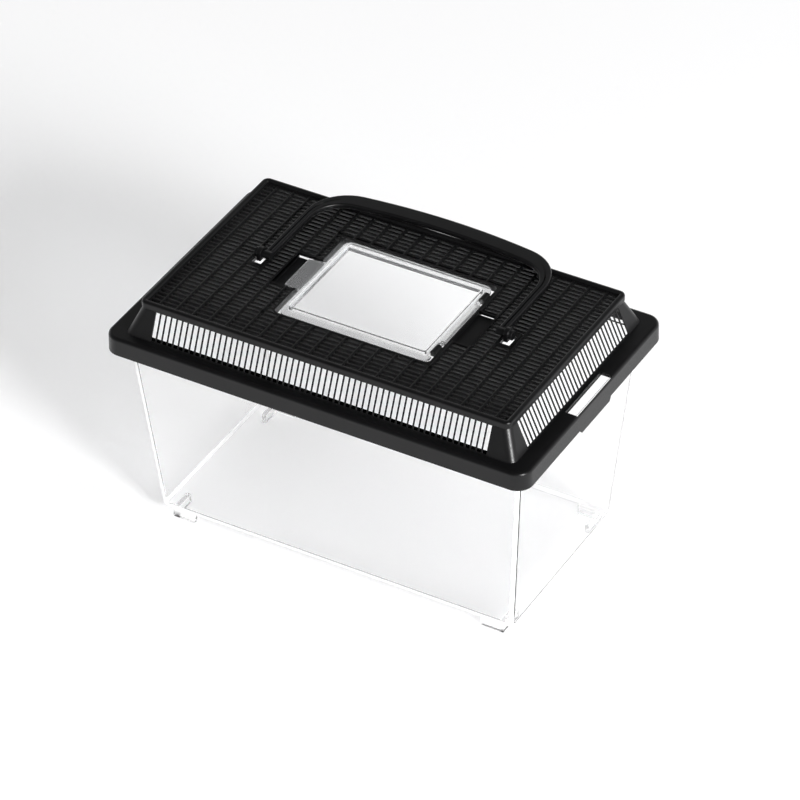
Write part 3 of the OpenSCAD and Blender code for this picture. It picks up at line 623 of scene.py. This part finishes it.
def bar_row_tree():
    """A geometry tree that adds one row of rounded bars to a piece."""
    tree = bpy.data.node_groups.new("bar_row", "GeometryNodeTree")
    face = tree.interface
    face.new_socket("Geometry", in_out="INPUT", socket_type="NodeSocketGeometry")
    face.new_socket("Count", in_out="INPUT", socket_type="NodeSocketInt")
    for size in SIZES:
        face.new_socket(size, in_out="INPUT", socket_type="NodeSocketFloat")
    face.new_socket("Place", in_out="INPUT", socket_type="NodeSocketVector")
    face.new_socket("Turn", in_out="INPUT", socket_type="NodeSocketVector")
    face.new_socket("Material", in_out="INPUT", socket_type="NodeSocketMaterial")
    face.new_socket("Geometry", in_out="OUTPUT", socket_type="NodeSocketGeometry")
    given = tree.nodes.new("NodeGroupInput").outputs

    top = add(tree, "ShaderNodeCombineXYZ", {"Z": given["Length"]}).outputs[0]
    line = add(tree, "GeometryNodeCurvePrimitiveLine", {"End": top}).outputs[0]
    outline = add(tree, "GeometryNodeCurvePrimitiveQuadrilateral", {
        "Width": given["Width"], "Height": given["Depth"],
    }).outputs[0]
    outline = add(tree, "GeometryNodeFilletCurve", {
        "Curve": outline, "Count": 2, "Radius": given["Edge"],
    }, mode="POLY").outputs[0]
    bar = add(tree, "GeometryNodeCurveToMesh", {
        "Curve": line, "Profile Curve": outline, "Fill Caps": True,
    }).outputs[0]
    spot = add(tree, "GeometryNodeInputPosition").outputs[0]
    climb = add(tree, "ShaderNodeSeparateXYZ", {0: spot}).outputs["Z"]
    slope = compute(tree, "DIVIDE", given["Lean"], given["Length"])
    lean = compute(tree, "MULTIPLY", climb, slope)
    shift = add(tree, "ShaderNodeCombineXYZ", {"Y": lean}).outputs[0]
    bar = add(tree, "GeometryNodeSetPosition", {"Geometry": bar, "Offset": shift}).outputs[0]
    half_row = compute(tree, "MULTIPLY", compute(tree, "SUBTRACT", 1.0, given["Count"]), 0.5)
    start = compute(tree, "MULTIPLY", half_row, given["Pitch"])
    first = add(tree, "ShaderNodeCombineXYZ", {"X": start}).outputs[0]
    step = add(tree, "ShaderNodeCombineXYZ", {"X": given["Pitch"]}).outputs[0]
    spots = add(tree, "GeometryNodeMeshLine", {
        "Count": given["Count"], "Start Location": first, "Offset": step,
    }, mode="OFFSET").outputs[0]
    row = add(tree, "GeometryNodeInstanceOnPoints", {"Points": spots, "Instance": bar}).outputs[0]
    row = add(tree, "GeometryNodeTransform", {
        "Geometry": row, "Translation": given["Place"], "Rotation": given["Turn"],
    }).outputs[0]
    joined = add(tree, "GeometryNodeJoinGeometry")
    tree.links.new(row, joined.inputs[0])
    tree.links.new(given["Geometry"], joined.inputs[0])
    real = add(tree, "GeometryNodeRealizeInstances", {0: joined.outputs[0]}).outputs[0]
    painted = add(tree, "GeometryNodeSetMaterial", {"Geometry": real, "Material": given["Material"]})
    out = tree.nodes.new("NodeGroupOutput")
    tree.links.new(painted.outputs[0], out.inputs[0])
    return tree


BAR_ROW = bar_row_tree()
SOCKETS = {s.name: s.identifier for s in BAR_ROW.interface.items_tree if s.in_out == "INPUT"}


def add_row(piece, count, place, turn, **sizes):
    """Stacks one more row of bars on a piece. Sizes and place are in mm."""
    row = piece.modifiers.new("row", "NODES")
    row.node_group = BAR_ROW
    row[SOCKETS["Count"]] = count
    for size in SIZES:
        row[SOCKETS[size]] = sizes.get(size.lower(), 0.0) * MM
    row[SOCKETS["Place"]] = [v * MM for v in place]
    row[SOCKETS["Turn"]] = list(turn)
    row[SOCKETS["Material"]] = BLACK


def rows_to_piece(name, mesh, rows, *replaced):
    """Builds the rows on a base mesh and finishes them as one piece of the lid."""
    base = bpy.data.objects.new(name + "_base", bpy.data.meshes.new(name))
    mesh.to_mesh(base.data)
    mesh.free()
    scene.collection.objects.link(base)
    for row in rows:
        add_row(base, **row)
    solid = bmesh.new()
    solid.from_mesh(plain_mesh(base))
    bpy.data.objects.remove(base)
    bmesh.ops.recalc_face_normals(solid, faces=solid.faces)
    return finish_piece(name, solid, BLACK, "lid", "black_plastic", *replaced)


print("tree inputs:", list(SOCKETS))


# %% [markdown]
# ## The slatted walls
# Four walls lean in from the brim to the lip, with 188 narrow slots. The frame
# round the slots is one skin of outlines, left open where a wall's slots run,
# so that the corner posts turn smoothly. A small groove runs round its top,
# under the lip. The bars between the slots are rows of the tree above.

# %% Slatted walls
VENT_LOW, VENT_TOP, VENT_LEAN, VENT_WALL = 136.66, 153.1, 7.1, 1.0
VENT_SIZE, VENT_R = (246.3, 150.1), 5.0
SLOT_LOW, SLOT_TOP, SLOT_W = VENT_LOW + 0.2, VENT_TOP - 0.6, 2.55
GROOVE_LOW, GROOVE_DEPTH = VENT_TOP - 0.45, 0.45
SLOTS, PITCHES = (60, 34), (3.55, 3.48)
SLAT_EDGE, SLAT_THINNER, BURY = 0.28, 0.1, 0.2
run_x, run_y = ((n - 1) / 2 * pitch + SLOT_W / 2 for n, pitch in zip(SLOTS, PITCHES))


def vent_loop(z, inset, steps=6):
    """An outline of the slatted walls, with a point where each wall's slots end."""
    lean = VENT_LEAN * (z - VENT_LOW) / (VENT_TOP - VENT_LOW) + inset
    hx, hy = (size / 2 - lean for size in VENT_SIZE)
    radius = VENT_R - inset
    ends = (
        ((hx, -run_y), (hx, run_y)), ((run_x, hy), (-run_x, hy)),
        ((-hx, run_y), (-hx, -run_y)), ((-run_x, -hy), (run_x, -hy)),
    )
    points = []
    for quarter, (sx, sy) in enumerate(QUARTERS):
        points += [Vector((x, y, z)) for x, y in ends[quarter]]
        centre = Vector((sx * (hx - radius), sy * (hy - radius), z))
        for i in range(steps + 1):
            a = quarter * pi / 2 + pi / 2 * i / steps
            points.append(centre + Vector((cos(a), sin(a), 0)) * radius)
    return points


frame_mesh = bmesh.new()
inner_levels = [(z, VENT_WALL) for z in (VENT_LOW, SLOT_LOW, SLOT_TOP, VENT_TOP)]
outer_levels = [(VENT_LOW, 0), (SLOT_LOW, 0), (SLOT_TOP, 0), (GROOVE_LOW, 0),
                (GROOVE_LOW, GROOVE_DEPTH), (VENT_TOP, GROOVE_DEPTH)]
outer, inner = (
    [[frame_mesh.verts.new(p * MM) for p in vent_loop(z, inset)] for z, inset in levels]
    for levels in (outer_levels, inner_levels)
)
count = len(outer[0])
openings = [quarter * (count // 4) for quarter in range(4)]
for i in range(count):
    j = (i + 1) % count
    for rings in (outer, inner):
        for level in range(len(rings) - 1):
            if level != 1 or i not in openings:
                low, high = rings[level], rings[level + 1]
                frame_mesh.faces.new([low[i], low[j], high[j], high[i]])
    for end in (0, -1):
        frame_mesh.faces.new([outer[end][i], inner[end][i], inner[end][j], outer[end][j]])
for i in openings:
    j = i + 1
    for (a, b), (c, d) in (((1, i), (1, j)), ((1, j), (2, j)), ((2, j), (2, i)), ((2, i), (1, i))):
        frame_mesh.faces.new([outer[a][b], outer[c][d], inner[c][d], inner[a][b]])
bmesh.ops.recalc_face_normals(frame_mesh, faces=frame_mesh.faces)

wall_rows = []
for quarter in range(4):
    along = quarter % 2
    across = VENT_SIZE[1 - along] / 2 - VENT_WALL / 2
    turn = quarter * pi / 2
    length = SLOT_TOP - SLOT_LOW + 2 * BURY
    wall_rows.append(dict(
        count=SLOTS[along] - 1, pitch=PITCHES[along], width=PITCHES[along] - SLOT_W,
        depth=VENT_WALL - SLAT_THINNER, length=length, edge=SLAT_EDGE,
        lean=VENT_LEAN * length / (VENT_TOP - VENT_LOW),
        place=(sin(turn) * across, -cos(turn) * across, SLOT_LOW - BURY), turn=(0, 0, turn),
    ))
rows_to_piece(
    "lid_slatted_walls", frame_mesh, wall_rows, "vent_front", "vent_back", "vent_left", "vent_right",
)


# %% [markdown]
# ## The grille
# Inside the lip lies a grille of slats with higher ribs across them. It parts
# round the hatch seat and its two bays. Each row is written once and mirrored
# to the other side, with its place counted in pitches from the middle. Small
# pads with a moulding hole carry the ears of the handle, and the slats stop
# there so that the holes stay open.

# %% Grille
GRILLE_LOW, RIB_TOP, SLAT_TOP = 153.3, 155.9, 155.5
PLATE = (226.7, 130.5)
RIB_PITCH, RIB_W, SLAT_PITCH, SLAT_W, BAR_EDGE = 10.6, 1.3, 3.383, 1.55, 0.3
END_SLAT_Y, END_SLAT_W, BAY_SLAT_Y, BAY_SLAT_W = 64.4, 1.8, 16.55, 2.3
END_RIB_X, END_RIB_W = 113.1, 0.7
FRAME_X, FRAME_Y, BAY_X, BAY_Y, SEAT_Y = 53.0, 43.98, 63.6, 15.4, 41.1
PAD_X, PAD_Y, PAD_EDGE = (75.3, 83.4), (-7.9, 7.9), 0.2
HOLE_X, HOLE_Y = (76.1, 82.0), (-4.9, 4.0)
TUCK = 0.1
ALONG_X = Matrix(((0, 0, 1), (1, 0, 0), (0, 1, 0))).to_euler()
ALONG_Y = Matrix.Rotation(-pi / 2, 3, "X").to_euler()
grille_rows = []


def slats(side, near, far, y, count=1, width=SLAT_W):
    """A row of slats between two distances along x on one side, centred on y."""
    x0, x1 = sorted((side * near, side * far))
    low = GRILLE_LOW + TUCK
    grille_rows.append(dict(
        count=count, pitch=SLAT_PITCH, width=width, depth=SLAT_TOP - low, length=x1 - x0,
        edge=BAR_EDGE, place=(x0, y, (SLAT_TOP + low) / 2), turn=ALONG_X,
    ))


def ribs(side, near, far, x, count=1, width=RIB_W):
    """A row of ribs between two distances along y on one side, centred on x."""
    y0, y1 = sorted((side * near, side * far))
    grille_rows.append(dict(
        count=count, pitch=RIB_PITCH, width=width, depth=RIB_TOP - GRILLE_LOW, length=y1 - y0,
        edge=BAR_EDGE, place=(x, y0, (RIB_TOP + GRILLE_LOW) / 2), turn=ALONG_Y,
    ))


half_x, half_y = PLATE[0] / 2 + TUCK, PLATE[1] / 2 + TUCK
for side in (1, -1):
    slats(side, -half_x, half_x, side * 15.5 * SLAT_PITCH, count=6)
    slats(side, -half_x, half_x, side * END_SLAT_Y, width=END_SLAT_W)
    for y in (8.5, -8.5):
        slats(side, FRAME_X, half_x, y * SLAT_PITCH, count=8)
    for near, far in ((BAY_X, PAD_X[0] + TUCK), (PAD_X[1] - TUCK, half_x)):
        slats(side, near, far, 0, count=5)
    for y in (3.5, -3.5):
        slats(side, BAY_X, half_x, y * SLAT_PITCH, count=2)
    ribs(side, -half_y, half_y, side * 8.5 * RIB_PITCH, count=4)
    ribs(side, -half_y, half_y, side * 6 * RIB_PITCH)
    ribs(side, -half_y, half_y, side * END_RIB_X, width=END_RIB_W)
    ribs(side, SEAT_Y, half_y, 0, count=11)
    for y in (1, -1):
        slats(side, FRAME_X, BAY_X, y * BAY_SLAT_Y, width=BAY_SLAT_W)
        ribs(y, BAY_Y, FRAME_Y, side * FRAME_X)

pads = bmesh.new()
for side in (1, -1):
    loops = [
        [Vector((side * xs[i], ys[j], z)) for i, j in ((0, 0), (1, 0), (1, 1), (0, 1))]
        for xs, ys, z in (
            (PAD_X, PAD_Y, GRILLE_LOW), (PAD_X, PAD_Y, RIB_TOP),
            (HOLE_X, HOLE_Y, RIB_TOP), (HOLE_X, HOLE_Y, GRILLE_LOW),
        )
    ]
    skin_loops(pads, loops + loops[:1])
bmesh.ops.remove_doubles(pads, verts=pads.verts, dist=WELD)
bmesh.ops.recalc_face_normals(pads, faces=pads.faces)
round_edges(pads, PAD_EDGE)
rows_to_piece(
    "lid_grille", pads, grille_rows, "grille_front", "grille_back", "grille_left", "grille_right",
    "grille_front_left", "grille_front_right", "grille_back_left", "grille_back_right",
)


# %% [markdown]
# ## Lip, hatch seat and ears
# These keep the CAD solids' shapes, with their edges rounded. An ear is
# straight at its front, so that the moulding hole under it stays open to the
# light: a plane cuts the front of its foot away, and the cut is closed.

# %% Lip, seat and ears
soften("lid_top_lip", "top_lip", 0.2, BLACK, "lid", "black_plastic")
soften("hatch_seat", "hatch_frame", 0.2, BLACK, "lid", "black_plastic")
EAR_FRONT, EAR_EDGE = -3.4, 0.3
for side in ("left", "right"):
    ear = merged_copy("handle_ear_" + side)
    bmesh.ops.bisect_plane(
        ear, geom=ear.verts[:] + ear.edges[:] + ear.faces[:], plane_co=(0, EAR_FRONT * MM, 0),
        plane_no=(0, -1, 0), clear_outer=True,
    )
    bmesh.ops.holes_fill(ear, edges=[e for e in ear.edges if e.is_boundary])
    round_edges(ear, EAR_EDGE)
    finish_piece("ear_" + side, ear, BLACK, "lid", "black_plastic", "handle_ear_" + side)


# %% [markdown]
# ## The hatch and the handle
# The hatch is a clear moulding with a raised panel. The handle is a bail with
# rounded edges and a groove down each leg.

# %% Hatch and handle
soften("hatch_panel", "hatch", 0.3, CLEAR_HATCH, "hatch", "clear_hatch")
finish_piece("bail_handle", merged_copy("handle"), BLACK, "handle", "black_plastic", "handle")

# %% Replaced CAD nodes
# Nothing of these shows, but each keeps the finish of the piece that stands
# for it.
for name, node in nodes.items():
    look = CLEAR if name in TANK_NODES else CLEAR_HATCH if name == "hatch" else BLACK
    node.data.materials.clear()
    node.data.materials.append(look)
print("CAD nodes with a finish:", len(nodes))
